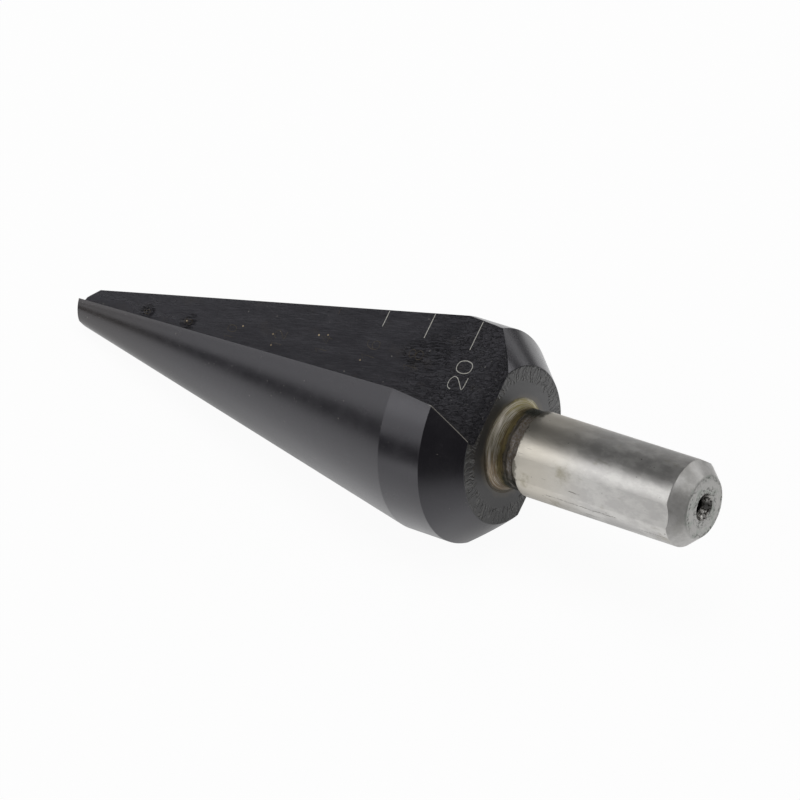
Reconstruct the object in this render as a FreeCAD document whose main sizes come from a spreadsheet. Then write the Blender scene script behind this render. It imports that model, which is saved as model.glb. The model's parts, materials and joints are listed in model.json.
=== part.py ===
import FreeCAD, Part
import Sketcher

import math
import os

# Cone drill for sheet metal and thin tube: one piece of tool steel.
# The tool is drawn upright: Z is its axis, Z = 0 is the end of the shank and the tip is up.
# Two straight flutes lie opposite each other. The first one opens towards +X and +Y, and its
# cutting face runs along X. At the end the finished tool is laid down on its second flute.

NODE = "cone_drill"

# Driving dimensions, in millimetres and degrees.
SIZES = [
    ("total_length", 71.2, "end of the shank to the point"),
    ("shank_radius", 4.0, "ground shank"),
    ("shank_length", 17.45, "end face to the start of the neck"),
    ("end_chamfer_length", 1.4, "chamfer on the end of the shank, along the axis"),
    ("end_chamfer_depth", 1.2, "the same chamfer, across the axis"),
    ("neck_depth", 0.28, "how far the turned neck lies below the shank"),
    ("neck_taper", 0.65, "length of the taper from the shank to the neck"),
    ("neck_length", 2.4, "straight part of the neck, up to the head"),
    ("neck_fillet", 0.8, "concave ring between the neck and the head"),
    ("rear_face_radius", 7.35, "flat ring at the back of the head"),
    ("rear_taper", 3.1, "length of the taper behind the band"),
    ("body_radius", 10.0, "cylindrical band, the largest hole"),
    ("band_length", 4.45, "length of that band"),
    ("tip_radius", 1.66, "small end of the cone, the smallest hole"),
    ("flats", 3, "flats on the shank, for a three-jaw chuck"),
    ("flat_distance", 3.835, "axis to each flat"),
    ("flat_turn", -61.0, "direction of the first flat, from +X"),
    ("hole_mouth_radius", 1.27, "centre hole, at the end face"),
    ("hole_radius", 0.8, "centre hole, below its countersink"),
    ("hole_depth", 3.4, "straight wall of the centre hole, from the end face"),
    ("countersink_angle", 60.0, "full angle of the countersink"),
    ("hole_bottom_angle", 118.0, "full angle of the bottom of the centre hole"),
    ("flutes", 2, "flutes and cutting edges"),
    ("web_tip", 0.4, "axis to the flute's back wall at the point"),
    ("web_band", 4.0, "the same where the band begins"),
    ("web_rear", 5.75, "the same at the back of the head"),
    ("face_drop", 0.4, "how far the cutting face lies below the axis at the point"),
    ("face_tilt", 4.9, "slope of the cutting face along the tool"),
    ("wall_lean", 18.5, "back wall, from square to the cutting face"),
    ("run_out_radius", 14.0, "round bend where the flute starts to run out"),
    ("root_radius", 0.6, "round corner between the cutting face and the back wall"),
    ("point_angle", 136.0, "angle between the two flanks of the point"),
    ("point_turn", 15.0, "direction of the ridge between the flanks, from +X"),
    ("heel_angle", 83.0, "angle between the two steeper facets behind the flanks"),
    ("heel_turn", -40.0, "direction of the ridge in which those facets would meet"),
    ("heel_rise", 0.85, "height of that ridge above the point"),
]

BEYOND = 4.0  # how far the cutters reach past the material
TOUCH = 1e-3  # distance at which a point counts as lying on a line
STEPS = 16  # sample points on each edge when the tool is laid down


def make_sheet(doc):
    sheet = doc.addObject("Spreadsheet::Sheet", "Sizes")
    for row, (alias, number, meaning) in enumerate(SIZES, start=1):
        sheet.set(f"A{row}", alias)
        sheet.set(f"B{row}", str(number))
        sheet.set(f"C{row}", meaning)
        sheet.setAlias(f"B{row}", alias)
    doc.recompute()
    return sheet


def value(owner, formula):
    answer = owner.evalExpression(formula)
    return float(getattr(answer, "Value", answer))


def origin_part(body, role):
    return next(part for part in body.Origin.OriginFeatures if part.Role == role)


def new_sketch(body, name, plane):
    sketch = body.newObject("Sketcher::SketchObject", name)
    sketch.AttachmentSupport = [(origin_part(body, plane), "")]
    sketch.MapMode = "FlatFace"
    return sketch


def drive(sketch, constraint, formula):
    """Add one constraint whose value follows a formula of the sheet's sizes."""
    number = sketch.addConstraint(constraint)
    sketch.setExpression(f"Constraints[{number}]", formula)


def hold_point(sketch, curve, end, x_formula, y_formula):
    x, y = value(sketch, x_formula), value(sketch, y_formula)
    drive(sketch, Sketcher.Constraint("DistanceX", curve, end, x), x_formula)
    drive(sketch, Sketcher.Constraint("DistanceY", curve, end, y), y_formula)


def closed_outline(sketch, corners):
    """Straight lines from corner to corner, each corner given by two formulas."""
    places = [FreeCAD.Vector(value(sketch, x), value(sketch, y), 0) for x, y in corners]
    count = len(places)
    for i in range(count):
        sketch.addGeometry(Part.LineSegment(places[i], places[(i + 1) % count]), False)
    for i in range(count):
        sketch.addConstraint(Sketcher.Constraint("Coincident", i, 2, (i + 1) % count, 1))
    for i, (x, y) in enumerate(corners):
        hold_point(sketch, i, 1, x, y)


# Stations along the axis, as formulas of the sizes.
NECK_START = "(Sizes.shank_length + Sizes.neck_taper)"
HEAD_START = f"({NECK_START} + Sizes.neck_length)"
BAND_START = f"({HEAD_START} + Sizes.rear_taper)"
CONE_START = f"({BAND_START} + Sizes.band_length)"
NECK_RADIUS = "(Sizes.shank_radius - Sizes.neck_depth)"


def turn_blank(body):
    """The turned and ground blank: shank, neck, head, band and cone."""
    sketch = new_sketch(body, "blank_profile", "XZ_Plane")
    closed_outline(sketch, [
        ("0", "0"),
        ("Sizes.shank_radius - Sizes.end_chamfer_depth", "0"),
        ("Sizes.shank_radius", "Sizes.end_chamfer_length"),
        ("Sizes.shank_radius", "Sizes.shank_length"),
        (NECK_RADIUS, NECK_START),
        (NECK_RADIUS, HEAD_START),
        ("Sizes.rear_face_radius", HEAD_START),
        ("Sizes.body_radius", BAND_START),
        ("Sizes.body_radius", CONE_START),
        ("Sizes.tip_radius", "Sizes.total_length"),
        ("0", "Sizes.total_length"),
    ])
    blank = body.newObject("PartDesign::Revolution", "blank")
    blank.Profile = sketch
    blank.ReferenceAxis = (sketch, ["V_Axis"])
    blank.Angle = 360
    return blank


def drill_centre_hole(body):
    """Centre hole in the end of the shank, with its countersink and drilled bottom."""
    sketch = new_sketch(body, "centre_hole_profile", "XZ_Plane")
    sink = ("(Sizes.hole_mouth_radius - Sizes.hole_radius)"
            " / tan(Sizes.countersink_angle * 1 deg / 2)")
    bottom = "Sizes.hole_depth + Sizes.hole_radius / tan(Sizes.hole_bottom_angle * 1 deg / 2)"
    closed_outline(sketch, [
        ("0", "0"),
        ("Sizes.hole_mouth_radius", "0"),
        ("Sizes.hole_radius", sink),
        ("Sizes.hole_radius", "Sizes.hole_depth"),
        ("0", bottom),
    ])
    hole = body.newObject("PartDesign::Groove", "centre_hole")
    hole.Profile = sketch
    hole.ReferenceAxis = (sketch, ["V_Axis"])
    hole.Angle = 360
    return hole


def pattern_round_axis(body, name, cut, copies):
    pattern = body.newObject("PartDesign::PolarPattern", name)
    pattern.Originals = [cut]
    pattern.Axis = (origin_part(body, "Z_Axis"), [""])
    pattern.Angle = 360
    pattern.setExpression("Occurrences", copies)
    body.Tip = pattern
    return pattern


def grind_shank_flats(body):
    """Flats on the shank, which the chuck's jaws press on."""
    sketch = new_sketch(body, "flat_profile", "XY_Plane")
    sketch.setExpression("AttachmentOffset.Rotation.Yaw", "Sizes.flat_turn * 1 deg")
    outside = f"Sizes.shank_radius + {BEYOND}"
    closed_outline(sketch, [
        ("Sizes.flat_distance", "-Sizes.shank_radius"),
        (outside, "-Sizes.shank_radius"),
        (outside, "Sizes.shank_radius"),
        ("Sizes.flat_distance", "Sizes.shank_radius"),
    ])
    cut = body.newObject("PartDesign::Pocket", "shank_flat")
    cut.Profile = sketch
    cut.Reversed = True
    cut.setExpression("Length", NECK_START)
    return pattern_round_axis(body, "shank_flats", cut, "Sizes.flats")


def floor_place(web, station):
    """Where the back wall meets the cutting face, across the tool, at one station."""
    drop = f"(Sizes.face_drop + tan(Sizes.face_tilt * 1 deg) * (Sizes.total_length - {station}))"
    return f"({web} - {drop} * sin(Sizes.wall_lean * 1 deg)) / cos(Sizes.wall_lean * 1 deg)"


def along_face(station):
    """Distance of a station from the point, measured along the sloping cutting face."""
    return f"-(Sizes.total_length - {station}) / cos(Sizes.face_tilt * 1 deg)"


def flute_profile(body):
    """Side view of one flute, drawn on its cutting face.

    The floor line runs back from the point, bends and rises out of the head.
    """
    sketch = new_sketch(body, "flute_profile", "XZ_Plane")
    sketch.setExpression("AttachmentOffset.Base.y", "Sizes.total_length")
    sketch.setExpression("AttachmentOffset.Base.z", "Sizes.face_drop")
    sketch.setExpression("AttachmentOffset.Rotation.Roll", "-Sizes.face_tilt * 1 deg")

    tip = (floor_place("Sizes.web_tip", "Sizes.total_length"), "0")
    bend = (floor_place("Sizes.web_band", CONE_START), along_face(CONE_START))
    rear = (floor_place("Sizes.web_rear", HEAD_START), along_face(HEAD_START))
    outside = f"Sizes.body_radius * 2 + {BEYOND}"
    below = f"{rear[1]} - {BEYOND} / 4"
    above = f"{BEYOND}"
    corners = [tip, bend, rear, (rear[0], below), (outside, below), (outside, above), (tip[0], above)]
    at = [FreeCAD.Vector(value(sketch, x), value(sketch, y), 0) for x, y in corners]

    # The bend is a round of run_out_radius between the two floor lines.
    forward, backward = (at[0] - at[1]).normalize(), (at[2] - at[1]).normalize()
    half = forward.getAngle(backward) / 2
    radius = value(sketch, "Sizes.run_out_radius")
    reach = radius / math.tan(half)
    start, end = at[1] + forward * reach, at[1] + backward * reach
    middle_way = (forward + backward).normalize()
    centre = at[1] + middle_way * (radius / math.sin(half))
    middle = centre - middle_way * radius
    lines = [(at[0], start), (end, at[2]), (at[2], at[3]), (at[3], at[4]),
             (at[4], at[5]), (at[5], at[6]), (at[6], at[0])]
    for first, last in lines:
        sketch.addGeometry(Part.LineSegment(first, last), False)
    bend_arc = sketch.addGeometry(Part.Arc(start, middle, end), False)
    corner = sketch.addGeometry(Part.Point(at[1]), True)

    arc_start = 1 if sketch.getPoint(bend_arc, 1).distanceToPoint(start) < TOUCH else 2
    sketch.addConstraint(Sketcher.Constraint("Tangent", 0, 2, bend_arc, arc_start))
    sketch.addConstraint(Sketcher.Constraint("Tangent", 1, 1, bend_arc, 3 - arc_start))
    for line in range(1, len(lines) - 1):
        sketch.addConstraint(Sketcher.Constraint("Coincident", line, 2, line + 1, 1))
    sketch.addConstraint(Sketcher.Constraint("Coincident", len(lines) - 1, 2, 0, 1))
    sketch.addConstraint(Sketcher.Constraint("PointOnObject", corner, 1, 0))
    sketch.addConstraint(Sketcher.Constraint("PointOnObject", corner, 1, 1))
    hold_point(sketch, corner, 1, *bend)
    hold_point(sketch, 0, 1, *tip)
    for line, place in enumerate([rear, corners[3], corners[4], corners[5], corners[6]], start=2):
        hold_point(sketch, line, 1, *place)
    drive(sketch, Sketcher.Constraint("Radius", bend_arc, radius), "Sizes.run_out_radius")
    return sketch


def grind_flutes(body):
    """Two V-shaped flutes: a flat cutting face and a leaning back wall that is cut with it."""
    sketch = flute_profile(body)
    cut = body.newObject("PartDesign::Pocket", "flute")
    cut.Profile = sketch
    cut.UseCustomVector = True
    cut.setExpression("Direction.x", "sin(Sizes.wall_lean * 1 deg)")
    cut.setExpression("Direction.y", "cos(Sizes.wall_lean * 1 deg)")
    cut.Direction.z = 0
    cut.AlongSketchNormal = False
    cut.setExpression("Length", "Sizes.body_radius * 3")
    return pattern_round_axis(body, "flutes", cut, "Sizes.flutes")


def grind_facets(body, name, ridge_height, full_angle, turn):
    """Two flat facets that slope down to both sides of a ridge across the axis."""
    sketch = new_sketch(body, f"{name}_profile", "XZ_Plane")
    sketch.setExpression("AttachmentOffset.Rotation.Pitch", f"{turn} * 1 deg")
    side = f"(Sizes.body_radius + {BEYOND})"
    foot = f"{ridge_height} - {side} / tan({full_angle} * 1 deg / 2)"
    above = f"{ridge_height} + {BEYOND}"
    closed_outline(sketch, [
        ("0", ridge_height), (side, foot), (side, above), (f"-{side}", above), (f"-{side}", foot),
    ])
    cut = body.newObject("PartDesign::Pocket", name)
    cut.Profile = sketch
    cut.Midplane = True
    cut.setExpression("Length", "Sizes.body_radius * 3")
    return cut


def grind_point(body):
    """Flat flanks behind the lips, and a steeper facet behind each of them.

    A profile is seen along its ridge, so it stands square to the ridge's direction.
    """
    grind_facets(body, "flanks", "Sizes.total_length", "Sizes.point_angle", "(Sizes.point_turn - 90)")
    heel_height = "(Sizes.total_length + Sizes.heel_rise)"
    return grind_facets(body, "heels", heel_height, "Sizes.heel_angle", "(Sizes.heel_turn + 90)")


def round_edges(body, name, base, edges, radius):
    fillet = body.newObject("PartDesign::Fillet", name)
    fillet.Base = (base, edges)
    fillet.setExpression("Radius", radius)
    return fillet


def edge_points(shape, count):
    """Name and sample points of every edge, without those that shrink to a point."""
    numbered = enumerate(shape.Edges, start=1)
    return [(f"Edge{i}", edge.discretize(count)) for i, edge in numbered if not edge.Degenerated]


def neck_edges(body, shape):
    """The corner where the neck meets the back of the head."""
    radius, height = value(body, NECK_RADIUS), value(body, HEAD_START)
    return [name for name, points in edge_points(shape, 5)
            if all(abs(math.hypot(p.x, p.y) - radius) < TOUCH for p in points)
            and all(abs(p.z - height) < TOUCH for p in points)]


def root_edges(body, shape):
    """The corners at the bottom of the flutes: straight or round, low on a cutting face."""
    tilt = math.tan(math.radians(value(body, "Sizes.face_tilt")))
    drop, length = value(body, "Sizes.face_drop"), value(body, "Sizes.total_length")
    found = []
    for name, points in edge_points(shape, 5):
        side = 1 if points[2].x > 0 else -1
        on_face = all(abs(side * p.y + drop + tilt * (length - p.z)) < TOUCH for p in points)
        along = abs(points[0].z - points[-1].z) > abs(points[0].x - points[-1].x)
        inside = abs(points[2].x) < value(body, "Sizes.web_rear")
        plain = shape.getElement(name).Curve.TypeId in ("Part::GeomLine", "Part::GeomCircle")
        if on_face and along and inside and plain:
            found.append(name)
    return found


def lay_down(shape):
    """Placement that rests the tool on the mouth of its second flute.

    Three points carry it: one near the point of the tool and one on each side of the head.
    """
    points = [p for _, places in edge_points(shape, STEPS) for p in places]
    middle = (shape.BoundBox.ZMin + shape.BoundBox.ZMax) / 2
    down = FreeCAD.Vector(-1, -1, 0).normalize()
    for _ in range(len(points)):
        side = down.cross(FreeCAD.Vector(0, 0, 1))
        front = max((p for p in points if p.z > middle), key=down.dot)
        left = max((p for p in points if p.z <= middle and p.dot(side) > 0), key=down.dot)
        right = max((p for p in points if p.z <= middle and p.dot(side) <= 0), key=down.dot)
        normal = (left - front).cross(right - front).normalize()
        if normal.dot(down) < 0:
            normal = -normal
        settled = normal.getAngle(down) < 1e-9
        down = normal
        if settled:
            break
    up = -down
    to_shank = FreeCAD.Vector(0, 0, -1)
    along = (to_shank - up * to_shank.dot(up)).normalize()
    across = up.cross(along)
    turn = FreeCAD.Rotation(FreeCAD.Matrix(
        along.x, along.y, along.z, 0,
        across.x, across.y, across.z, 0,
        up.x, up.y, up.z, 0,
        0, 0, 0, 1))
    laid = shape.copy()
    laid.Placement = FreeCAD.Placement(FreeCAD.Vector(), turn)
    box = laid.optimalBoundingBox(False)
    middle_bottom = FreeCAD.Vector(-(box.XMin + box.XMax) / 2, -(box.YMin + box.YMax) / 2, -box.ZMin)
    return FreeCAD.Placement(middle_bottom, turn)


def check(doc, body):
    for thing in doc.Objects:
        if {"Invalid", "Error"} & set(thing.State):
            raise RuntimeError(f"{thing.Name} did not build: {thing.State}")
    if body.Shape.isNull() or not body.Shape.isValid() or len(body.Shape.Solids) != 1:
        raise RuntimeError("the tool is not one valid solid")


def volume_step(doc, body, name, cuts, before):
    """Rebuild, and make sure that a step which should remove or add material did so."""
    doc.recompute()
    after = body.Shape.Volume
    if cuts and not after < before - TOUCH:
        raise RuntimeError(f"{name} removed nothing")
    print(f"{name}: {after:.1f} mm3")
    return after


def main():
    doc = FreeCAD.newDocument("cone_drill")
    make_sheet(doc)
    body = doc.addObject("PartDesign::Body", NODE)
    body.Label = NODE

    turn_blank(body)
    volume = volume_step(doc, body, "blank", False, 0)
    drill_centre_hole(body)
    volume = volume_step(doc, body, "centre hole", True, volume)
    grind_shank_flats(body)
    volume = volume_step(doc, body, "shank flats", True, volume)
    flutes = grind_flutes(body)
    volume = volume_step(doc, body, "flutes", True, volume)
    round_edges(body, "flute_roots", flutes, root_edges(body, body.Shape), "Sizes.root_radius")
    volume = volume_step(doc, body, "flute roots", False, volume)
    point = grind_point(body)
    volume = volume_step(doc, body, "point", True, volume)
    round_edges(body, "neck_ring", point, neck_edges(body, body.Shape), "Sizes.neck_fillet")
    volume_step(doc, body, "neck ring", False, volume)

    body.Placement = lay_down(body.Shape)
    doc.recompute()
    check(doc, body)
    os.makedirs("parts", exist_ok=True)
    body.Shape.exportStep(f"parts/{body.Label}.step")
    box = body.Shape.BoundBox
    print(f"lying box {box.XLength:.2f} x {box.YLength:.2f} x {box.ZLength:.2f} mm")


main()
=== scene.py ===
import json
import math
import bpy
from mathutils import Euler, Matrix, Vector

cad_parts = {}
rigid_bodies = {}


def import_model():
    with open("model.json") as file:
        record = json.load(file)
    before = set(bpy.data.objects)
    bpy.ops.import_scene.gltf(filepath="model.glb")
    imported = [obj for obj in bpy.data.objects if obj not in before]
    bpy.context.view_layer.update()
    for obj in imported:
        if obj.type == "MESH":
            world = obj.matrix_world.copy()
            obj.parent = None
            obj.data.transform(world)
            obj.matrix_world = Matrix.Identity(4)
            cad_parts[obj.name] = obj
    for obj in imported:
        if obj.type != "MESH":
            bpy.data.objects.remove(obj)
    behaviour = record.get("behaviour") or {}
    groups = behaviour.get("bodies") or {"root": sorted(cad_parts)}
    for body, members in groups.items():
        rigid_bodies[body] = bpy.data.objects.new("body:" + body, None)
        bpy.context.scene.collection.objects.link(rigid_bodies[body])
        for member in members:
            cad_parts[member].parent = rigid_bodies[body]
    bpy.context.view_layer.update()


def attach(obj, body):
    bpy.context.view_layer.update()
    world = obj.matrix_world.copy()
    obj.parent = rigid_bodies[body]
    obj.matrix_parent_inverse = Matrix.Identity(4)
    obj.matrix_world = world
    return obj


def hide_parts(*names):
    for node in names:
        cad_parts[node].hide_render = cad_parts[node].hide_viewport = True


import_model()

print("part loaded")

# The drill is shaped upright and in millimetres: shank end at the origin, point up.
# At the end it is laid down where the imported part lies.

turnedBlank = {
    # radius, height and rounding of each corner of the outline
    "corners": [
        (0.0, 3.881, 0.0), (0.8, 3.4, 0.0), (0.8, 0.814, 0.05), (1.27, 0.0, 0.06),
        (2.8, 0.0, 0.12), (4.0, 1.4, 0.15), (4.0, 17.45, 0.12), (3.72, 18.1, 0.1),
        (3.72, 18.55, 0.03), (3.67, 18.68, 0.03), (3.67, 18.8, 0.03), (3.72, 18.93, 0.03),
        (3.72, 20.5, 0.8), (7.35, 20.5, 0.14), (10.0, 23.6, 0.07), (10.0, 28.05, 0.07),
        (1.66, 71.2, 0.0), (0.0, 71.2, 0.0),
    ],
    "steps": 256,
    "roundPoints": 6,
}

flute = {
    "pointHeight": 71.2,
    "faceDrop": 0.4,       # cutting face below the axis at the point
    "faceTilt": 4.9,
    "wallLean": 18.5,
    "webs": [(0.4, 71.2), (4.0, 28.05), (5.75, 20.5)],  # axis to the back wall, and height
    "bendRadius": 14.0,
    "bendPoints": 18,
    "rootRadius": 0.6,
    "reach": 24.0,         # width of the cutter over the cutting face
    "opening": 34.0,       # and its height along the back wall
}
wallLean = math.radians(flute["wallLean"])

shankFlats = {"count": 3, "distance": 3.835, "turn": -61.0, "top": 18.1}

pointGrind = {
    "flankAngle": 136.0, "flankTurn": 15.0, "flankHeight": 71.2,
    "heelAngle": 83.0, "heelTurn": -40.0, "heelHeight": 72.05,
}

lying = {"turn": -11.7392, "tip": -98.6626, "place": (35.024033, 0.0, 12.228949)}

lieDown = (
    Matrix.Translation(Vector(lying["place"]) * 0.001)
    @ Matrix.Rotation(math.radians(lying["tip"]), 4, "Y")
    @ Matrix.Rotation(math.radians(lying["turn"]), 4, "Z")
    @ Matrix.Scale(0.001, 4)
)


def clearSelection():
    for thing in bpy.context.view_layer.objects:
        thing.select_set(False)


def makeActive(piece):
    clearSelection()
    piece.select_set(True)
    bpy.context.view_layer.objects.active = piece


def editMode(piece, kind="VERT"):
    makeActive(piece)
    bpy.ops.object.mode_set(mode="EDIT")
    bpy.ops.mesh.select_mode(type=kind)


def objectMode():
    bpy.ops.object.mode_set(mode="OBJECT")


def drawLine(name, points):
    # a plane shrunk to one corner, which is then extruded from point to point
    clearSelection()
    bpy.ops.mesh.primitive_plane_add(size=1.0, location=(0, 0, 0))
    piece = bpy.context.object
    piece.name = name
    editMode(piece)
    bpy.ops.mesh.select_all(action="SELECT")
    bpy.ops.mesh.merge(type="CENTER")
    bpy.ops.transform.translate(value=points[0])
    for last, following in zip(points, points[1:]):
        bpy.ops.mesh.extrude_region_move(TRANSFORM_OT_translate={"value": following - last})
    objectMode()
    return piece


def roundedOutline(corners, count):
    # swaps each corner that has a rounding for a few points on its arc
    places = [Vector((r, 0.0, z)) for r, z, _ in corners]
    outline = []
    for i, place in enumerate(places):
        size = corners[i][2]
        if size == 0.0:
            outline.append(place)
            continue
        back = (places[i - 1] - place).normalized()
        ahead = (places[i + 1] - place).normalized()
        half = back.angle(ahead) / 2
        reach = min(size / math.tan(half), 0.45 * (places[i - 1] - place).length,
                    0.45 * (places[i + 1] - place).length)
        size = reach * math.tan(half)
        centre = place + (back + ahead).normalized() * (size / math.sin(half))
        first = (place + back * reach - centre).normalized()
        last = (place + ahead * reach - centre).normalized()
        for k in range(count + 1):
            outline.append(centre + first.slerp(last, k / count) * size)
    return outline


def spinBlank():
    outline = roundedOutline(turnedBlank["corners"], turnedBlank["roundPoints"])
    piece = drawLine("drillBody", outline)
    editMode(piece)
    bpy.ops.mesh.select_all(action="SELECT")
    bpy.ops.mesh.spin(steps=turnedBlank["steps"], angle=math.tau, center=(0, 0, 0), axis=(0, 0, 1))
    bpy.ops.mesh.select_all(action="SELECT")
    bpy.ops.mesh.remove_doubles(threshold=0.0004)
    bpy.ops.mesh.normals_make_consistent(inside=False)
    objectMode()
    return piece


def cutAway(piece, cutter):
    makeActive(piece)
    cut = piece.modifiers.new("cut", "BOOLEAN")
    cut.operation = "DIFFERENCE"
    cut.solver = "EXACT"
    cut.object = cutter
    bpy.ops.object.modifier_apply(modifier=cut.name)
    bpy.data.objects.remove(cutter, do_unlink=True)


def turnedCopy(piece, degrees):
    makeActive(piece)
    bpy.ops.object.duplicate()
    copy = bpy.context.object
    copy.rotation_euler = (0, 0, math.radians(degrees))
    bpy.ops.object.transform_apply(location=False, rotation=True, scale=False)
    return copy


def faceDropAt(height):
    # how far the cutting face lies below the axis
    return flute["faceDrop"] + math.tan(math.radians(flute["faceTilt"])) * (flute["pointHeight"] - height)


def floorPoint(web, height):
    # where the back wall meets the cutting face
    drop = faceDropAt(height)
    return Vector(((web - drop * math.sin(wallLean)) / math.cos(wallLean), -drop, height))


def fluteFloor():
    tip, bend, rear = [floorPoint(web, height) for web, height in flute["webs"]]
    forward, backward = (tip - bend).normalized(), (rear - bend).normalized()
    half = forward.angle(backward) / 2
    radius = flute["bendRadius"]
    reach = radius / math.tan(half)
    centre = bend + (forward + backward).normalized() * (radius / math.sin(half))
    first = (bend + forward * reach - centre).normalized()
    last = (bend + backward * reach - centre).normalized()
    count = flute["bendPoints"]
    arc = [centre + first.slerp(last, k / count) * radius for k in range(count + 1)]
    return [tip] + arc + [rear]


def fluteCutter():
    floor = fluteFloor()
    tilt = math.radians(flute["faceTilt"])
    alongFace = Vector((0.0, math.sin(tilt), math.cos(tilt)))
    across = Vector((flute["reach"], 0.0, 0.0))
    start, end = floor[0] + alongFace * 4.0, floor[-1] - alongFace * 1.2
    outside = [end + across, start + across]
    piece = drawLine("fluteCutter", [start] + floor + [end] + outside)
    editMode(piece)
    bpy.ops.mesh.select_all(action="SELECT")
    bpy.ops.mesh.edge_face_add()
    up = Vector((math.sin(wallLean), math.cos(wallLean), 0.0)) * flute["opening"]
    bpy.ops.mesh.extrude_region_move(TRANSFORM_OT_translate={"value": up})
    bpy.ops.mesh.select_all(action="SELECT")
    bpy.ops.mesh.normals_make_consistent(inside=False)
    bpy.ops.mesh.select_all(action="DESELECT")
    objectMode()
    rootLine = [start] + floor + [end]

    def onRoot(place):
        return any((place - corner).length < 0.001 for corner in rootLine)

    corners = piece.data.vertices
    for edge in piece.data.edges:
        edge.select = all(onRoot(corners[i].co) for i in edge.vertices)
    editMode(piece, "EDGE")
    width = flute["rootRadius"] / math.tan((math.pi / 2 - wallLean) / 2)
    bpy.ops.mesh.bevel(offset=width, offset_type="OFFSET", segments=6, profile=0.5, affect="EDGES")
    objectMode()
    return piece


def flatCutter():
    # one broad slab, with its inner side on the flat
    side, depth, top = shankFlats["distance"], 6.0, shankFlats["top"]
    clearSelection()
    bpy.ops.mesh.primitive_cube_add(size=1.0, location=(side + depth / 2, 0, (top - 2.0) / 2))
    piece = bpy.context.object
    piece.scale = (depth, 12.0, top + 2.0)
    bpy.ops.object.transform_apply(location=True, rotation=False, scale=True)
    return piece


def cutPlane(piece, place, normal):
    editMode(piece)
    bpy.ops.mesh.select_all(action="SELECT")
    bpy.ops.mesh.bisect(plane_co=place, plane_no=normal, use_fill=True, clear_outer=True)
    objectMode()


def grindFacets(piece, fullAngle, turn, height):
    slope = 1.0 / math.tan(math.radians(fullAngle) / 2)
    ridge = math.radians(turn)
    for side in (1, -1):
        normal = Vector((-math.sin(ridge) * slope * side, math.cos(ridge) * slope * side, 1.0))
        cutPlane(piece, (0, 0, height), normal.normalized())


def turnedRadius(height):
    # outside of the head at one height
    corners = [(radius, z) for radius, z, _ in turnedBlank["corners"][-5:-1]]
    for (r0, z0), (r1, z1) in zip(corners, corners[1:]):
        if z0 <= height <= z1:
            return r0 + (r1 - r0) * (height - z0) / (z1 - z0)
    return 0.0


# radius and height up to which a finish reaches
finishZones = {
    "bore": (1.25, 4.0), "end": (3.99, 1.42), "shankTop": 17.6, "neck": (4.56, 20.6),
    "rearFace": 20.56, "pointFacets": 68.0,
}


def finishOf(centre, normal):
    # which finish a face of the upright drill gets, by its place and direction
    radius, height = math.hypot(centre.x, centre.y), centre.z
    boreRadius, boreDepth = finishZones["bore"]
    endRadius, endTop = finishZones["end"]
    neckRadius, neckTop = finishZones["neck"]
    if height < boreDepth and radius < boreRadius and (height > 0.05 or normal.z > -0.9):
        return "boreSteel"
    if height < endTop and radius < endRadius:
        return "turnedEnd"
    if height < finishZones["shankTop"]:
        return "groundShank"
    if height < neckTop and radius < neckRadius:
        return "stainedNeck"
    if height < finishZones["rearFace"] and normal.z < -0.9:
        return "rearRing"
    if normal.z > 0.35 and height > finishZones["pointFacets"]:
        return "fluteGround"
    outwards = normal.dot(Vector((centre.x, centre.y, 0.0))) > 0
    if abs(radius - turnedRadius(height)) < 0.05 and outwards:
        return "blackOxide"
    return "fluteGround"


drill = spinBlank()
print("blank turned", len(drill.data.polygons))

cutter = flatCutter()
for i in range(shankFlats["count"]):
    cutAway(drill, turnedCopy(cutter, shankFlats["turn"] + i * 360.0 / shankFlats["count"]))
bpy.data.objects.remove(cutter, do_unlink=True)

cutter = fluteCutter()
secondCutter = turnedCopy(cutter, 180.0)
cutAway(drill, cutter)
cutAway(drill, secondCutter)
print("flutes cut", len(drill.data.polygons))

grindFacets(drill, pointGrind["flankAngle"], pointGrind["flankTurn"], pointGrind["flankHeight"])
grindFacets(drill, pointGrind["heelAngle"], pointGrind["heelTurn"], pointGrind["heelHeight"])
print("point ground", len(drill.data.polygons))


# Finishes. Each reads the upright drill's own millimetres.

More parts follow.
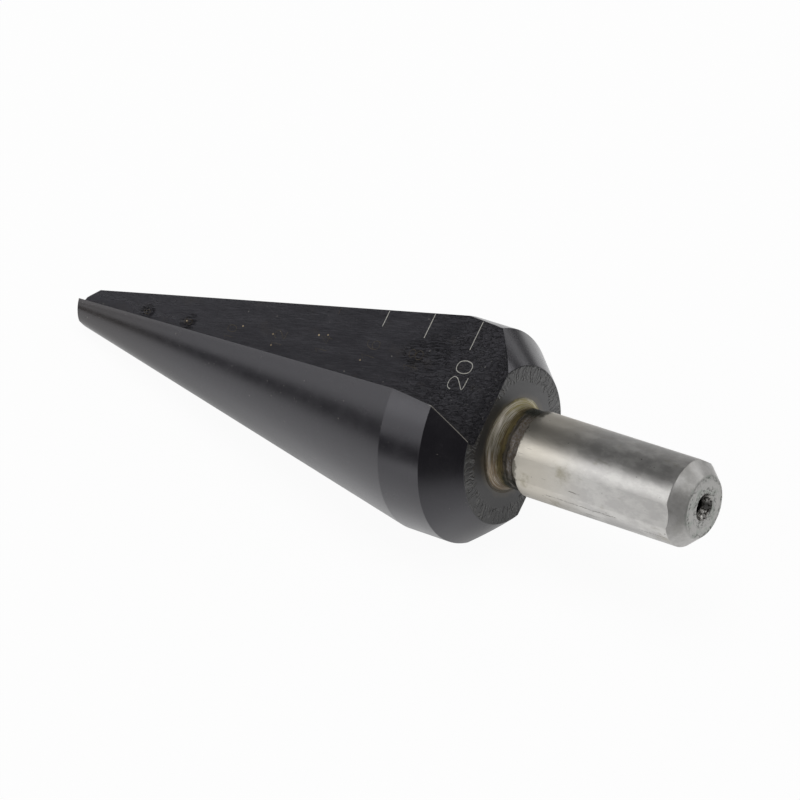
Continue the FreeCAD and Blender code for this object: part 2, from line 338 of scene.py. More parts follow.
class Finish:
    def __init__(self, name):
        self.material = bpy.data.materials.new(name)
        self.material.use_nodes = True
        self.nodes = self.material.node_tree.nodes
        self.links = self.material.node_tree.links
        self.shader = self.nodes["Principled BSDF"]
        place = self.nodes.new("ShaderNodeTexCoord")
        upright = self.nodes.new("ShaderNodeMapping")
        upright.vector_type = "TEXTURE"
        upright.inputs["Location"].default_value = lieDown.to_translation()
        upright.inputs["Rotation"].default_value = lieDown.to_euler("XYZ")
        upright.inputs["Scale"].default_value = (0.001, 0.001, 0.001)
        self.links.new(place.outputs["Object"], upright.inputs["Vector"])
        self.place = upright.outputs["Vector"]
        split = self.nodes.new("ShaderNodeSeparateXYZ")
        self.links.new(self.place, split.inputs[0])
        self.x, self.y, self.z = split.outputs

    def put(self, value, socket):
        if hasattr(value, "links"):
            self.links.new(value, socket)
        else:
            socket.default_value = value

    def sum(self, operation, first, second=0.0, third=0.0):
        node = self.nodes.new("ShaderNodeMath")
        node.operation = operation
        for value, socket in zip((first, second, third), node.inputs):
            self.put(value, socket)
        return node.outputs[0]

    def product(self, first, *others):
        for other in others:
            first = self.sum("MULTIPLY", first, other)
        return first

    def ragged(self, value, pattern, reach):
        # a value that a noise shifts, by up to half the reach to each side
        return self.sum("MULTIPLY_ADD", pattern, reach, self.sum("SUBTRACT", value, reach / 2))

    def radius(self):
        return self.sum("SQRT", self.sum("MULTIPLY_ADD", self.x, self.x, self.product(self.y, self.y)))

    def around(self):
        # direction from the axis, in radians
        return self.sum("ARCTAN2", self.y, self.x)

    def stretch(self, factors, vector=None):
        node = self.nodes.new("ShaderNodeVectorMath")
        node.operation = "MULTIPLY"
        self.links.new(vector or self.place, node.inputs[0])
        node.inputs[1].default_value = factors
        return node.outputs[0]

    def join(self, x, y, z):
        node = self.nodes.new("ShaderNodeCombineXYZ")
        for value, socket in zip((x, y, z), node.inputs):
            self.put(value, socket)
        return node.outputs[0]

    def noise(self, vector, scale=1.0, detail=3.0, rough=0.5):
        node = self.nodes.new("ShaderNodeTexNoise")
        self.links.new(vector, node.inputs["Vector"])
        node.inputs["Scale"].default_value = scale
        node.inputs["Detail"].default_value = detail
        node.inputs["Roughness"].default_value = rough
        return node.outputs[0]

    def ramp(self, value, low, high, first=0.0, last=1.0):
        node = self.nodes.new("ShaderNodeMapRange")
        node.interpolation_type = "SMOOTHSTEP"
        self.put(value, node.inputs[0])
        for number, socket in zip((low, high, first, last), list(node.inputs)[1:5]):
            self.put(number, socket)
        return node.outputs[0]

    def blend(self, amount, first, second):
        node = self.nodes.new("ShaderNodeMix")
        node.data_type = "RGBA"
        colours = [socket for socket in node.inputs if socket.type == "RGBA"]
        self.put(amount, node.inputs[0])
        for value, socket in zip((first, second), colours):
            self.put(value if hasattr(value, "links") else (*value, 1.0), socket)
        return [socket for socket in node.outputs if socket.type == "RGBA"][0]

    def relief(self, height, strength, depth, normal=None):
        node = self.nodes.new("ShaderNodeBump")
        node.inputs["Strength"].default_value = strength
        node.inputs["Distance"].default_value = depth * 0.001
        self.links.new(height, node.inputs["Height"])
        if normal:
            self.links.new(normal, node.inputs["Normal"])
        return node.outputs[0]

    def away(self, place):
        node = self.nodes.new("ShaderNodeVectorMath")
        node.operation = "DISTANCE"
        self.links.new(self.place, node.inputs[0])
        node.inputs[1].default_value = place
        return node.outputs["Value"]

    def cutEdge(self):
        # distance from the two cutting faces
        slope = math.tan(math.radians(flute["faceTilt"]))
        drop = self.sum("MULTIPLY_ADD", self.z, -slope, flute["faceDrop"] + slope * flute["pointHeight"])
        side = self.sum("SIGN", self.x)
        return self.sum("ABSOLUTE", self.sum("MULTIPLY_ADD", self.y, side, drop))

    def finish(self, colour, rough, metal=0.0, ior=1.5, normal=None, tint=(1.0, 1.0, 1.0)):
        self.put(colour, self.shader.inputs["Base Color"])
        self.put(rough, self.shader.inputs["Roughness"])
        self.shader.inputs["Metallic"].default_value = metal
        self.shader.inputs["IOR"].default_value = ior
        self.shader.inputs["Specular Tint"].default_value = (*tint, 1.0)
        if normal:
            self.links.new(normal, self.shader.inputs["Normal"])
        return self.material


blackLook = {
    "colour": (0.0088, 0.0078, 0.0108), "paler": (0.0135, 0.0122, 0.0155),
    "worn": (0.3, 0.28, 0.25), "point": (0.017, 0.0125, 0.009), "tint": (0.95, 0.94, 1.0),
    "roughness": (0.2, 0.28), "ior": 1.64, "lineDepth": 0.003, "grainDepth": 0.006,
}


def blackOxide():
    look = Finish("blackOxide")
    cloud = look.noise(look.place, 0.55, 5.0, 0.6)
    grain = look.noise(look.place, 9.0, 4.0, 0.7)
    lines = look.noise(look.join(0.0, 0.0, look.z), 7.0, 6.0, 0.75)
    speck = look.ramp(look.noise(look.place, 4.2, 1.0), 0.77, 0.81, 0.0, 0.5)
    # bare steel on the edge where the rear taper meets a cutting face, painted pale also as the edge's
    # highlight
    edgeWearAndHighlight = look.product(look.ramp(look.cutEdge(), 0.1, 0.02), look.ramp(look.z, 24.2, 23.4),
                        look.ramp(grain, 0.35, 0.5, 0.45, 1.0))
    colour = look.blend(look.ramp(cloud, 0.4, 0.7), blackLook["colour"], blackLook["paler"])
    colour = look.blend(look.ramp(look.z, 52.0, 70.0, 0.0, 0.9), colour, blackLook["point"])
    colour = look.blend(look.sum("MAXIMUM", edgeWearAndHighlight, speck), colour, blackLook["worn"])
    mottle = look.sum("MULTIPLY_ADD", grain, 0.5, look.product(cloud, 0.5))
    rough = look.ramp(mottle, 0.3, 0.7, *blackLook["roughness"])
    normal = look.relief(lines, 0.6, blackLook["lineDepth"])
    normal = look.relief(grain, 0.5, blackLook["grainDepth"], normal)
    return look.finish(colour, rough, 0.0, blackLook["ior"], normal, blackLook["tint"])


fluteLook = {
    "colour": (0.0052, 0.0047, 0.0066), "streak": (0.021, 0.0198, 0.0238),
    "brown": (0.021, 0.0165, 0.011), "speck": (0.2, 0.19, 0.17), "paintedGlint": (0.22, 0.21, 0.19),
    "fleck": (0.55, 0.42, 0.24), "tint": (0.9, 0.89, 1.0), "roughness": (0.36, 0.5), "ior": 1.52,
    "streakTurn": 0.17,        # slant of the streaks to the axis
    "streakDepth": 0.1, "scuffDepth": 0.24, "tornDepth": 0.34,
    # scuffed patches: place on the upright drill and size
    "scuffs": [((5.4, 3.4, 29.6), 2.4), ((5.1, 2.9, 31.8), 1.9), ((6.0, 4.6, 27.4), 1.3),
               ((1.8, 0.8, 58.1), 1.1), ((1.4, 0.7, 63.3), 1.0)],
    # flecks of pale filling left in the smaller numbers: place and size
    "flecks": [((1.83, 0.78, 58.3), 0.1), ((2.66, 1.58, 51.74), 0.09), ((2.98, 1.54, 48.01), 0.08),
               ((2.67, 0.52, 47.64), 0.08), ((3.73, 2.48, 42.98), 0.11), ((3.89, 2.68, 42.01), 0.08),
               ((3.8, 1.19, 37.29), 0.08), ((1.4, 0.76, 63.4), 0.07)],
    "runOut": (22.5, 21.3),    # heights between which the torn metal of the run-out sets in
}


def fluteGround():
    look = Finish("fluteGround")
    # the cutter ran along the wall at a small angle to the axis, in both flutes
    across = look.sum("MULTIPLY_ADD", look.x, math.sin(wallLean), look.product(look.y, math.cos(wallLean)))
    across = look.product(across, look.sum("SIGN", look.x))
    across = look.sum("MULTIPLY_ADD", look.z, fluteLook["streakTurn"], across)
    depth = look.sum("MULTIPLY_ADD", look.x, math.cos(wallLean), look.product(look.y, -math.sin(wallLean)))
    milled = look.join(across, depth, look.z)
    streaks = look.noise(look.stretch((6.0, 6.0, 0.45), milled), 1.0, 5.0, 0.68)
    dashes = look.noise(look.stretch((4.6, 4.6, 0.6), milled), 1.0, 3.0, 0.62)
    broad = look.noise(look.stretch((1.1, 1.1, 0.25)), 1.0, 3.0, 0.5)
    patch = look.ramp(look.noise(look.place, 0.5, 4.0, 0.6), 0.57, 0.75, 0.0, 0.45)
    speck = look.ramp(look.noise(look.place, 3.3, 1.0), 0.775, 0.81)
    # smoother and plainer towards the point
    rough = look.ramp(broad, 0.35, 0.65, *fluteLook["roughness"])
    rough = look.product(rough, look.ramp(look.z, 66.0, 40.0, 0.72, 1.0))
    pale = look.product(look.ramp(streaks, 0.46, 0.66), look.ramp(look.z, 64.0, 38.0, 0.35, 1.0))
    colour = look.blend(pale, fluteLook["colour"], fluteLook["streak"])
    colour = look.blend(patch, colour, fluteLook["brown"])
    colour = look.blend(speck, colour, fluteLook["speck"])
    scuffs = look.ramp(look.z, 24.0, 36.0, 0.45, 0.0)
    for place, size in fluteLook["scuffs"]:
        scuffs = look.sum("MAXIMUM", scuffs, look.ramp(look.away(place), size, size * 0.3))
    scuffs = look.product(scuffs, look.ramp(dashes, 0.46, 0.56))
    for place, size in fluteLook["flecks"]:
        colour = look.blend(look.ramp(look.away(place), size, size * 0.5), colour, fluteLook["fleck"])
    # torn metal where the flute runs out, with painted glints on it
    runOut = look.ramp(look.ragged(look.z, look.noise(look.place, 1.6, 3.0), 1.2), *fluteLook["runOut"])
    tears = look.noise(look.stretch((2.6, 2.6, 1.6)), 1.0, 4.0, 0.65)
    torn = look.product(runOut, look.ramp(tears, 0.42, 0.62))
    # painted highlight: small pale glints on the torn metal
    paintedGlint = look.product(runOut, look.ramp(look.noise(look.place, 4.6, 1.0), 0.7, 0.74), 0.8)
    colour = look.blend(paintedGlint, colour, fluteLook["paintedGlint"])
    normal = look.relief(streaks, 0.8, fluteLook["streakDepth"])
    normal = look.relief(scuffs, 0.9, fluteLook["scuffDepth"], normal)
    normal = look.relief(torn, 0.9, fluteLook["tornDepth"], normal)
    return look.finish(colour, rough, 0.0, fluteLook["ior"], normal, fluteLook["tint"])


ringLook = {
    "colour": (0.021, 0.0205, 0.0215), "rub": (0.15, 0.147, 0.142), "stain": (0.075, 0.062, 0.044),
    "roughness": (0.36, 0.5), "ior": 1.75,
    "marks": 140.0, "depth": 0.15, "inner": 5.7, "outer": 7.33,
    "ringDepth": 0.01,
}


def rearRing():
    # short dents that stand round the rim like chatter of a lathe tool
    look = Finish("rearRing")
    radius = look.radius()
    wobble = look.noise(look.place, 0.9, 3.0)
    grain = look.noise(look.place, 6.0, 4.0, 0.7)
    rings = look.noise(look.join(look.product(radius, 9.0), 0.0, 0.0), 1.0, 4.0, 0.7)
    perTurn = ringLook["marks"] / math.tau
    turn = look.sum("MULTIPLY_ADD", look.around(), perTurn, look.product(wobble, 5.0))
    dents = look.noise(look.join(turn, look.product(radius, 0.5), 0.0), 1.0, 1.0, 0.4)
    inner = look.ragged(ringLook["inner"], look.noise(look.place, 0.7, 2.0), 1.6)
    zone = look.product(look.ramp(look.sum("SUBTRACT", radius, inner), 0.0, 0.35),
                        look.ramp(radius, ringLook["outer"], ringLook["outer"] - 0.15))
    marks = look.product(look.ramp(dents, 0.47, 0.58), zone)
    rubbed = look.product(look.ramp(dents, 0.42, 0.47), look.ramp(dents, 0.55, 0.5), zone,
                          look.ramp(grain, 0.3, 0.7, 0.15, 0.8))
    stain = look.ramp(look.sum("MULTIPLY_ADD", wobble, 0.8, radius), 5.35, 4.9, 0.0, 0.8)
    colour = look.blend(stain, ringLook["colour"], ringLook["stain"])
    colour = look.blend(rubbed, colour, ringLook["rub"])
    rough = look.ramp(grain, 0.3, 0.7, *ringLook["roughness"])
    normal = look.relief(rings, 0.35, ringLook["ringDepth"])
    normal = look.relief(marks, 1.0, ringLook["depth"], normal)
    return look.finish(colour, rough, 0.0, ringLook["ior"], normal)


shankLook = {
    "colour": (0.49, 0.48, 0.468), "paler": (0.63, 0.62, 0.6), "warm": (0.55, 0.515, 0.45),
    "stain": (0.27, 0.245, 0.17), "scratch": (0.15, 0.14, 0.125), "dirt": (0.05, 0.045, 0.032),
    "roughness": (0.31, 0.43), "lineDepth": 0.004, "waveDepth": 0.02,
    # stained spots: place on the upright drill and size
    "spots": [((2.6, -3.05, 12.5), 1.2), ((-0.9, -3.9, 13.6), 0.9), ((0.9, -3.9, 16.6), 0.9),
              ((-0.6, -3.9, 2.2), 0.8)],
    # long scratches: direction from the axis in degrees, lower and upper end, half width in degrees
    "scratches": [(-88.0, 6.5, 14.5, 1.1), (-96.0, 1.6, 4.6, 0.9), (-70.0, 10.4, 12.0, 0.9),
                  (-101.0, 8.6, 10.6, 0.8)],
}


def groundShank():
    look = Finish("groundShank")
    around = look.around()
    lines = look.noise(look.stretch((0.6, 0.6, 16.0)), 1.0, 5.0, 0.7)
    cloud = look.noise(look.stretch((0.75, 0.75, 0.45)), 1.0, 5.0, 0.62)
    grain = look.noise(look.place, 5.0, 4.0, 0.7)
    stain = look.noise(look.stretch((0.9, 0.9, 0.4)), 1.0, 4.0, 0.6)
    stain = look.ramp(stain, 0.62, 0.74, 0.0, 0.35)
    blot = look.noise(look.place, 1.5, 4.0, 0.65)
    for place, size in shankLook["spots"]:
        near = look.ramp(look.ragged(look.away(place), blot, 3.2), size, -0.3, 0.0, 0.6)
        stain = look.sum("MAXIMUM", stain, near)
    # fine scratches here and there, then the long ones
    scratch = look.noise(look.stretch((4.5, 4.5, 0.28)), 1.0, 2.0, 0.5)
    scratch = look.ramp(scratch, 0.745, 0.765, 0.0, 0.6)
    wavy = look.ragged(around, look.noise(look.stretch((0.0, 0.0, 0.9)), 1.0, 3.0, 0.6), 0.12)
    broken = look.ramp(grain, 0.42, 0.56, 0.1, 0.9)
    for turn, low, high, width in shankLook["scratches"]:
        aside = look.sum("ABSOLUTE", look.sum("SUBTRACT", wavy, math.radians(turn)))
        line = look.product(look.ramp(aside, math.radians(width), math.radians(width) * 0.4),
                            look.ramp(look.z, low, low + 0.4), look.ramp(look.z, high, high - 0.4), broken)
        scratch = look.sum("MAXIMUM", scratch, line)
    pits = look.ramp(look.noise(look.place, 2.9, 1.0), 0.77, 0.8, 0.0, 0.6)
    height = look.ragged(look.z, look.noise(look.place, 1.7, 4.0, 0.6), 1.2)
    edgeDirt = look.ramp(height, 17.35, 17.62, 0.0, 0.7)
    # black-green grime that has crept onto the upper side
    grime = look.product(look.ramp(height, 16.7, 17.1), look.ramp(around, 0.1, 0.4, 0.0, 0.9))
    colour = look.blend(look.ramp(cloud, 0.4, 0.62), shankLook["colour"], shankLook["paler"])
    colour = look.blend(look.ramp(look.z, 9.0, 16.0, 0.0, 0.9), colour, shankLook["warm"])
    colour = look.blend(stain, colour, shankLook["stain"])
    colour = look.blend(look.sum("MAXIMUM", scratch, pits), colour, shankLook["scratch"])
    colour = look.blend(look.sum("MAXIMUM", edgeDirt, grime), colour, shankLook["dirt"])
    mottle = look.sum("MULTIPLY_ADD", grain, 0.4, look.product(cloud, 0.6))
    rough = look.ramp(mottle, 0.3, 0.7, *shankLook["roughness"])
    normal = look.relief(lines, 0.5, shankLook["lineDepth"])
    normal = look.relief(look.noise(look.place, 0.8, 2.0), 0.5, shankLook["waveDepth"], normal)
    return look.finish(colour, rough, 1.0, 1.5, normal)


neckLook = {
    "worn": (0.33, 0.305, 0.29), "steel": (0.74, 0.7, 0.62), "olive": (0.24, 0.2, 0.085),
    "gold": (0.34, 0.29, 0.1), "rust": (0.25, 0.18, 0.115), "brown": (0.15, 0.11, 0.06),
    "dark": (0.042, 0.036, 0.023), "grime": (0.024, 0.027, 0.019),
    "metal": 0.75, "roughness": (0.3, 0.5), "streakDepth": 0.1, "grainDepth": 0.04,
    "line": (18.5, 18.98),     # heights of the dark line in the groove
    "streaks": 12.0,
}


def stainedNeck():
    # worn steel by the shank, a dark line, olive tarnish, then the pale streaked fillet
    look = Finish("stainedNeck")
    around = look.around()
    along = look.sum("MULTIPLY_ADD", look.sum("SUBTRACT", look.radius(), 3.72), 0.8, look.z)
    cloud = look.noise(look.place, 1.1, 4.0, 0.6)
    grain = look.noise(look.place, 4.5, 4.0, 0.7)
    turned = look.join(look.product(along, neckLook["streaks"]), look.product(around, 1.3), 0.0)
    streak = look.noise(turned, 1.0, 2.0, 0.6)
    height = look.ragged(along, cloud, 0.7)
    low, high = neckLook["line"]
    colour = look.blend(look.ramp(grain, 0.35, 0.65, 0.0, 0.75), neckLook["worn"], neckLook["brown"])
    tarnish = look.blend(look.ramp(streak, 0.4, 0.6), neckLook["olive"], neckLook["brown"])
    colour = look.blend(look.ramp(height, high - 0.25, high), colour, tarnish)
    pale = look.blend(look.ramp(streak, 0.42, 0.62, 0.0, 0.9), neckLook["steel"], neckLook["olive"])
    rusty = look.product(look.ramp(around, -0.6, -1.3, 0.1, 0.85), look.ramp(streak, 0.36, 0.54, 0.4, 1.0))
    pale = look.blend(rusty, pale, neckLook["rust"])
    golden = look.product(look.ramp(around, 0.0, 0.6, 0.0, 0.85), look.ramp(streak, 0.3, 0.6))
    pale = look.blend(golden, pale, neckLook["gold"])
    colour = look.blend(look.ramp(height, 19.35, 19.85), colour, pale)
    line = look.product(look.ramp(height, low - 0.1, low + 0.08),
                        look.ramp(height, high + 0.08, high - 0.1),
                        look.ramp(grain, 0.3, 0.6, 0.95, 0.5))
    colour = look.blend(line, colour, neckLook["dark"])
    # grime by the shank, on the upper side and in the corner below
    sides = look.sum("MAXIMUM", look.ramp(around, 0.1, 0.45), look.ramp(around, -1.15, -1.5))
    grime = look.product(sides, look.ramp(height, 19.5, 19.1), look.ramp(cloud, 0.36, 0.52, 0.35, 0.95))
    colour = look.blend(grime, colour, neckLook["grime"])
    # dark outer edge, wider on the lower side
    rim = look.sum("MULTIPLY_ADD", cloud, 0.5, along)
    rim = look.sum("ADD", rim, look.ramp(around, -0.6, -1.2, 0.0, 0.22))
    colour = look.blend(look.ramp(rim, 21.0, 21.42, 0.0, 0.9), colour, neckLook["dark"])
    rough = look.ramp(grain, 0.3, 0.7, *neckLook["roughness"])
    normal = look.relief(streak, 0.8, neckLook["streakDepth"])
    normal = look.relief(grain, 0.7, neckLook["grainDepth"], normal)
    return look.finish(colour, rough, neckLook["metal"], 1.5, normal)


endLook = {
    "colour": (0.58, 0.57, 0.555), "dark": (0.43, 0.422, 0.405),
    "face": (0.47, 0.463, 0.447), "green": (0.38, 0.4, 0.37), "pit": (0.05, 0.048, 0.04),
    "metal": 0.55, "roughness": (0.36, 0.48),
    "ringDepth": 0.012, "grainDepth": 0.01, "pitDepth": 0.06,
    "pitted": [(1.2, 2.05), (2.35, 2.95)],    # inner and outer radius of the pitted rings on the face
    "stray": 0.12,                            # how far pits show outside them
}


def turnedEnd():
    look = Finish("turnedEnd")
    radius = look.radius()
    rings = look.noise(look.join(look.product(radius, 11.0), 0.0, 0.0), 1.0, 4.0, 0.7)
    cloud = look.noise(look.place, 0.9, 5.0, 0.65)
    grain = look.noise(look.place, 7.0, 4.0, 0.7)
    face = look.blend(look.ramp(cloud, 0.45, 0.6), endLook["face"], endLook["green"])
    colour = look.blend(look.ramp(cloud, 0.35, 0.7), endLook["colour"], endLook["dark"])
    colour = look.blend(look.ramp(look.z, 0.2, 0.05), colour, face)
    zones = endLook["stray"]
    for inner, outer in endLook["pitted"]:
        zone = look.product(look.ramp(radius, inner, inner + 0.15), look.ramp(radius, outer, outer - 0.3))
        zones = look.sum("MAXIMUM", zones, zone)
    pits = look.product(look.ramp(look.noise(look.place, 4.4, 3.0, 0.65), 0.5, 0.6), zones,
                        look.ramp(cloud, 0.42, 0.52, 0.3, 1.0), look.ramp(look.z, 0.5, 0.1))
    colour = look.blend(look.product(pits, 0.75), colour, endLook["pit"])
    rough = look.ramp(grain, 0.3, 0.7, *endLook["roughness"])
    normal = look.relief(rings, 0.6, endLook["ringDepth"])
    normal = look.relief(grain, 0.4, endLook["grainDepth"], normal)
    normal = look.relief(look.product(pits, -1.0), 0.8, endLook["pitDepth"], normal)
    return look.finish(colour, rough, endLook["metal"], 1.5, normal)


boreLook = {
    # the dark colour gives the blotches and the painted shade deep in the bore
    "colour": (0.46, 0.45, 0.43), "dark": (0.045, 0.042, 0.037), "roughness": (0.26, 0.45),
    "lineDepth": 0.04, "blotchDepth": 0.04,
}


def boreSteel():
    look = Finish("boreSteel")
    lines = look.noise(look.stretch((1.4, 1.4, 7.0)), 1.0, 4.0, 0.7)
    blotch = look.noise(look.place, 3.4, 3.0, 0.65)
    colour = look.blend(look.ramp(blotch, 0.45, 0.6), boreLook["colour"], boreLook["dark"])
    # painted shade: darker deeper into the bore
    colour = look.blend(look.ramp(look.z, 0.15, 1.3, 0.0, 0.92), colour, boreLook["dark"])
    rough = look.ramp(blotch, 0.4, 0.6, *boreLook["roughness"])
    normal = look.relief(lines, 0.7, boreLook["lineDepth"])
    normal = look.relief(blotch, 0.5, boreLook["blotchDepth"], normal)
    return look.finish(colour, rough, 1.0, 1.5, normal)


def scaleMetal(name, colour, paler):
    look = Finish(name)
    grain = look.noise(look.place, 6.0, 4.0, 0.7)
    shade = look.blend(look.ramp(grain, 0.35, 0.65), colour, paler)
    return look.finish(shade, 0.5, 0.3, 1.5, look.relief(grain, 0.5, 0.01))


makers = {
    "blackOxide": blackOxide, "fluteGround": fluteGround, "rearRing": rearRing,
    "groundShank": groundShank, "stainedNeck": stainedNeck, "turnedEnd": turnedEnd, "boreSteel": boreSteel,
}
order = list(makers)
drill.data.materials.clear()
for name in order:
    drill.data.materials.append(makers[name]())
for face in drill.data.polygons:
    face.material_index = order.index(finishOf(face.center, face.normal))
print("finishes set")


# scale on the back wall of the first flute

scale = {
    "sink": 0.03,               # how deep the middle of a line lies in the wall
    "lineRadius": 0.055, "brightProud": 0.022,
    "faintRadius": 0.045, "faintProud": 0.014,
    "lineStart": 5.98,          # inner end of the lines, along the wall
    "edgeGap": 0.1, "brightEdge": 7.0,
    # mark, height on the drill, middle of the number along the wall, height of the digits
    "marks": [
        ("20", 26.17, 3.48, 1.9), ("18", 31.7, 3.62, 1.6), ("16", 36.67, 3.45, 1.5),
        ("14", 42.0, 2.75, 1.35), ("12", 47.15, 2.05, 1.2), ("10", 52.8, 1.4, 1.05),
        ("8", 58.1, 1.3, 0.95), ("6", 63.3, 1.1, 0.8),
    ],
    "digitWidth": 0.66, "digitStep": 0.85,    # parts of a digit's height
    "bright": ("20",),
    "brightShift": -0.35,       # this number stands a little behind its line
    "digits": {
        "0": [[(0.5, 0.0), (0.46, 0.25), (0.3, 0.44), (0.0, 0.5), (-0.3, 0.44), (-0.46, 0.25), (-0.5, 0.0),
               (-0.46, -0.25), (-0.3, -0.44), (0.0, -0.5), (0.3, -0.44), (0.46, -0.25), (0.5, 0.0)]],
        "1": [[(-0.25, 0.28), (0.1, 0.5), (0.1, -0.5)]],
        "2": [[(-0.54, 0.24), (-0.46, 0.46), (-0.14, 0.55), (0.22, 0.51), (0.48, 0.35), (0.44, 0.12),
               (0.1, -0.12), (-0.3, -0.36), (-0.54, -0.54), (0.55, -0.54)]],
        "4": [[(0.22, -0.5), (0.22, 0.5), (-0.46, -0.2), (0.48, -0.2)]],
        "6": [[(0.34, 0.44), (0.05, 0.5), (-0.28, 0.36), (-0.45, 0.05), (-0.44, -0.25), (-0.25, -0.45),
               (0.05, -0.5), (0.34, -0.42), (0.46, -0.2), (0.34, 0.02), (0.05, 0.1), (-0.25, 0.03),
               (-0.44, -0.18)]],
        "8": [[(0.0, 0.04), (-0.3, 0.12), (-0.4, 0.28), (-0.26, 0.45), (0.0, 0.5), (0.26, 0.45),
               (0.4, 0.28), (0.3, 0.12), (0.0, 0.04), (-0.34, -0.06), (-0.46, -0.25), (-0.32, -0.44),
               (0.0, -0.5), (0.32, -0.44), (0.46, -0.25), (0.34, -0.06), (0.0, 0.04)]],
    },
}


wallOut = Vector((math.cos(wallLean), -math.sin(wallLean), 0.0))
wallRuling = Vector((math.sin(wallLean), math.cos(wallLean), 0.0))
wallFloor = fluteFloor()


def webAt(height):
    # axis to the back wall, also on the bend and on the way out
    for upper, lower in zip(wallFloor, wallFloor[1:]):
        if lower.z <= height <= upper.z:
            part = (height - lower.z) / (upper.z - lower.z)
            return lower.lerp(upper, part).dot(wallOut)
    return flute["webs"][0][0]


def wallPoint(along, height, sink):
    return wallOut * (webAt(height) - sink) + wallRuling * along + Vector((0.0, 0.0, height))


def wallEdge(height):
    return math.sqrt(turnedRadius(height) ** 2 - webAt(height) ** 2)


def scratchLines(name, strokes, radius, material):
    # round-ended strokes that lie half in the wall
    clearSelection()
    curve = bpy.data.curves.new(name, "CURVE")
    curve.dimensions = "3D"
    curve.bevel_depth = radius
    curve.bevel_resolution = 1
    curve.use_fill_caps = True
    curve.resolution_u = 3
    for stroke in strokes:
        smooth = len(stroke) > 4
        spline = curve.splines.new("NURBS" if smooth else "POLY")
        spline.points.add(len(stroke) - 1)
        for point, place in zip(spline.points, stroke):
            point.co = (*place, 1.0)
        if smooth:
            spline.order_u = 3
            spline.use_endpoint_u = True
    piece = bpy.data.objects.new(name, curve)
    bpy.context.scene.collection.objects.link(piece)
    makeActive(piece)
    bpy.ops.object.convert(target="MESH")
    piece = bpy.context.object
    piece.data.materials.clear()
    piece.data.materials.append(material)
    bpy.ops.object.shade_smooth()
    return piece


def digitStrokes(text, height, middle, size, sink):
    strokes = []
    width, step = size * scale["digitWidth"], size * scale["digitStep"]
    start = middle - step * (len(text) - 1) / 2
    for i, digit in enumerate(text):
        for line in scale["digits"][digit]:
            middleOfDigit = start + i * step
            strokes.append([wallPoint(middleOfDigit + a * width, height + b * size, sink) for a, b in line])
    return strokes


brightStrokes, faintStrokes = [], []
for text, height, middle, size in scale["marks"]:
    bright = text in scale["bright"]
    radius = scale["lineRadius"] if bright else scale["faintRadius"]
    sink = radius - (scale["brightProud"] if bright else scale["faintProud"])
    shift = scale["brightShift"] if bright else 0.0
    strokes = digitStrokes(text, height + shift, middle, size, sink)
    (brightStrokes if bright else faintStrokes).extend(strokes)
    edge = wallEdge(height) - scale["edgeGap"]
    if edge > scale["lineStart"] + 0.2:
        line = [wallPoint(along, height, scale["sink"]) for along in (scale["lineStart"], edge)]
        (brightStrokes if edge > scale["brightEdge"] else faintStrokes).append(line)

brightScale = scratchLines("scaleLines", brightStrokes, scale["lineRadius"],
                           scaleMetal("scaleBright", (0.5, 0.49, 0.45), (0.66, 0.65, 0.6)))
faintScale = scratchLines("scaleFaint", faintStrokes, scale["faintRadius"],
                          scaleMetal("scaleFaint", (0.042, 0.033, 0.023), (0.1, 0.08, 0.054)))
print("scale drawn")


# lay down, smooth and hand over

def layDown(piece, sharp=None):
    makeActive(piece)
    piece.matrix_world = lieDown
    bpy.ops.object.transform_apply(location=True, rotation=True, scale=True)
    if sharp:
        bpy.ops.object.shade_smooth_by_angle(angle=math.radians(sharp))
        evener = piece.modifiers.new("evener", "WEIGHTED_NORMAL")
        evener.keep_sharp = True
        evener.weight = 80
        bpy.ops.object.modifier_apply(modifier=evener.name)


layDown(drill, 16.0)
layDown(brightScale)
layDown(faintScale)
for piece in (drill, brightScale, faintScale):
    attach(piece, "root")
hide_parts("cone_drill")
print("drill laid down")


# floor, light and camera

studio = {
    "floorColour": (0.9, 0.9, 0.9), "seen": 0.95, "world": 0.1,
    # painted reflection: what the floor shows in reflections, with painted shadow and light in it: a
    # middle, a squeeze along x and y, then two distances and their levels
    "sheen": [
        ((0.0, 0.0), (0.22, 1.0), (0.0045, 0.0105, 0.55, 1.08)),      # painted shadow right under the drill
        ((-0.012, 0.0), (0.35, 1.0), (0.012, 0.1, 1.0, 0.14)),        # fades far off
        ((0.07, -0.065), (1.0, 1.0), (0.03, 0.085, 0.4, 1.0)),        # painted shade, darker to the right
        ((0.004, -0.057), (1.0, 1.0), (0.008, 0.027, 3.0, 1.0)),      # painted light patches that the shank reflects
        ((-0.009, 0.064), (1.0, 1.0), (0.008, 0.032, 1.9, 1.0)),
    ],
    # name, compass direction, height angle, distance, width, height, brightness
    "lamps": [
        ("leftBox", -136.0, 26.5, 0.6, 0.64, 0.4, 1.08),
        ("leftGlow", -137.0, 35.0, 0.57, 0.28, 0.2, 0.75),
        ("farBox", 161.0, 21.0, 0.6, 0.7, 0.16, 1.3),
        ("backBox", 92.0, 8.0, 0.6, 0.4, 0.14, 1.0),
        ("lowBox", 124.0, 5.0, 0.6, 0.26, 0.18, 0.5),
        ("rightBox", 62.0, 33.0, 0.6, 0.26, 0.2, 2.1),
        ("highBox", 10.0, 53.0, 0.6, 0.28, 0.26, 1.9),
        ("topBox", 150.0, 80.0, 0.8, 0.5, 0.5, 3.3),
    ],
    "unreflected": ("topBox",),
}


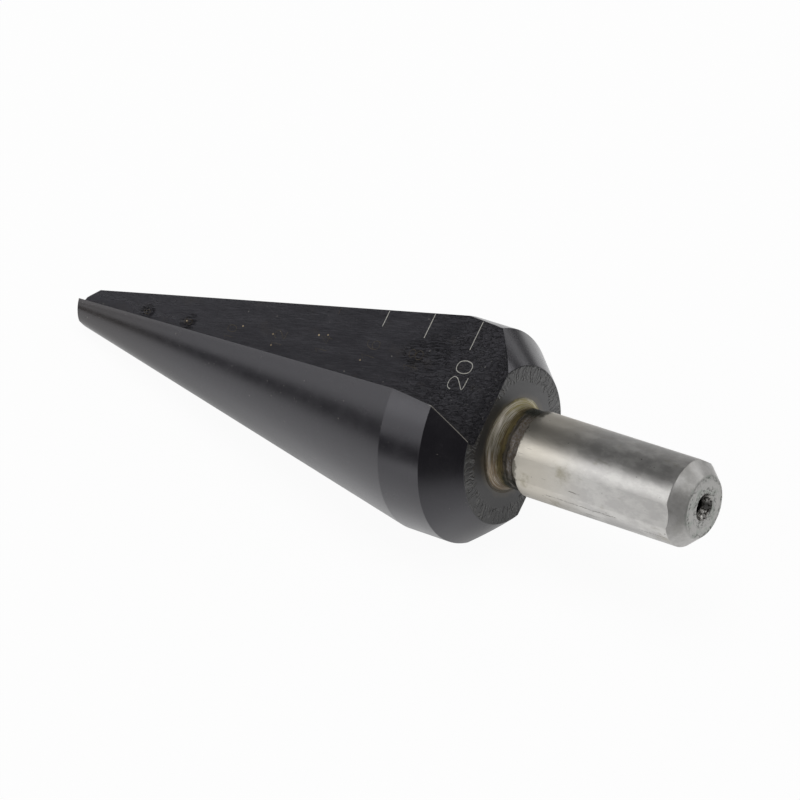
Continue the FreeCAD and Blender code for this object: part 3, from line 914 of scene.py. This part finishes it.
def floorFinish():
    material = bpy.data.materials.new("paleFloor")
    material.use_nodes = True
    nodes, links = material.node_tree.nodes, material.node_tree.links
    nodes.clear()
    matt = nodes.new("ShaderNodeBsdfDiffuse")
    matt.inputs["Color"].default_value = (*studio["floorColour"], 1.0)
    plain = nodes.new("ShaderNodeEmission")
    # the sheen is a painted reflection: light that the floor gives off to glossy rays only
    sheen = nodes.new("ShaderNodeEmission")
    place = nodes.new("ShaderNodeTexCoord")

    def farness(middle, squeeze, numbers):
        scaled = nodes.new("ShaderNodeVectorMath")
        scaled.operation = "MULTIPLY"
        scaled.inputs[1].default_value = (*squeeze, 1.0)
        links.new(place.outputs["Object"], scaled.inputs[0])
        span = nodes.new("ShaderNodeVectorMath")
        span.operation = "DISTANCE"
        span.inputs[1].default_value = (middle[0] * squeeze[0], middle[1] * squeeze[1], 0.0)
        links.new(scaled.outputs[0], span.inputs[0])
        fade = nodes.new("ShaderNodeMapRange")
        fade.interpolation_type = "SMOOTHSTEP"
        links.new(span.outputs["Value"], fade.inputs[0])
        for number, socket in zip(numbers, list(fade.inputs)[1:5]):
            socket.default_value = number
        return fade.outputs[0]

    strength = None
    for middle, squeeze, numbers in studio["sheen"]:
        part = farness(middle, squeeze, numbers)
        if strength:
            node = nodes.new("ShaderNodeMath")
            node.operation = "MULTIPLY"
            links.new(strength, node.inputs[0])
            links.new(part, node.inputs[1])
            part = node.outputs[0]
        strength = part
    links.new(strength, sheen.inputs["Strength"])
    light = nodes.new("ShaderNodeLightPath")
    seen = nodes.new("ShaderNodeMath")
    seen.operation = "MULTIPLY"
    seen.inputs[1].default_value = studio["seen"]
    links.new(light.outputs["Is Camera Ray"], seen.inputs[0])
    mixSeen = nodes.new("ShaderNodeMixShader")
    links.new(seen.outputs[0], mixSeen.inputs[0])
    links.new(matt.outputs[0], mixSeen.inputs[1])
    links.new(plain.outputs[0], mixSeen.inputs[2])
    mixGloss = nodes.new("ShaderNodeMixShader")
    links.new(light.outputs["Is Glossy Ray"], mixGloss.inputs[0])
    links.new(mixSeen.outputs[0], mixGloss.inputs[1])
    links.new(sheen.outputs[0], mixGloss.inputs[2])
    out = nodes.new("ShaderNodeOutputMaterial")
    links.new(mixGloss.outputs[0], out.inputs[0])
    material.cycles.emission_sampling = "NONE"
    return material


clearSelection()
bpy.ops.mesh.primitive_plane_add(size=8.0, location=(0, 0, 0))
floor = bpy.context.object
floor.name = "floor"
floor.data.materials.append(floorFinish())

world = bpy.data.worlds.new("studio")
bpy.context.scene.world = world
world.use_nodes = True
nodes, links = world.node_tree.nodes, world.node_tree.links
room = nodes["Background"]
room.inputs[0].default_value = (1.0, 1.0, 1.0, 1.0)
light = nodes.new("ShaderNodeLightPath")
level = nodes.new("ShaderNodeMapRange")
links.new(light.outputs["Is Camera Ray"], level.inputs[0])
level.inputs[3].default_value = studio["world"]
level.inputs[4].default_value = 1.0
links.new(level.outputs[0], room.inputs[1])

for name, turn, rise, distance, width, height, brightness in studio["lamps"]:
    lamp = bpy.data.lights.new(name, "AREA")
    lamp.shape = "RECTANGLE"
    lamp.size, lamp.size_y = width, height
    lamp.energy = brightness * math.pi * width * height
    holder = bpy.data.objects.new(name, lamp)
    bpy.context.scene.collection.objects.link(holder)
    a, e = math.radians(turn), math.radians(rise)
    away = Vector((math.cos(a) * math.cos(e), math.sin(a) * math.cos(e), math.sin(e)))
    holder.location = away * distance + Vector((0, 0, 0.01))
    holder.rotation_euler = away.to_track_quat("Z", "Y").to_euler()
    holder.visible_glossy = name not in studio["unreflected"]

view = {"lens": 195.72, "place": (0.181688, -0.231316, 0.272253), "turn": (47.92856, 1.99360, 36.00452)}
cameraData = bpy.data.cameras.new("camera")
cameraData.lens = view["lens"]
cameraData.sensor_width = 36.0
cameraData.clip_start = 0.01
camera = bpy.data.objects.new("camera", cameraData)
bpy.context.scene.collection.objects.link(camera)
camera.location = view["place"]
camera.rotation_euler = Euler([math.radians(angle) for angle in view["turn"]], "XYZ")
bpy.context.scene.camera = camera
bpy.context.scene.view_settings.view_transform = "Standard"

print("studio ready")
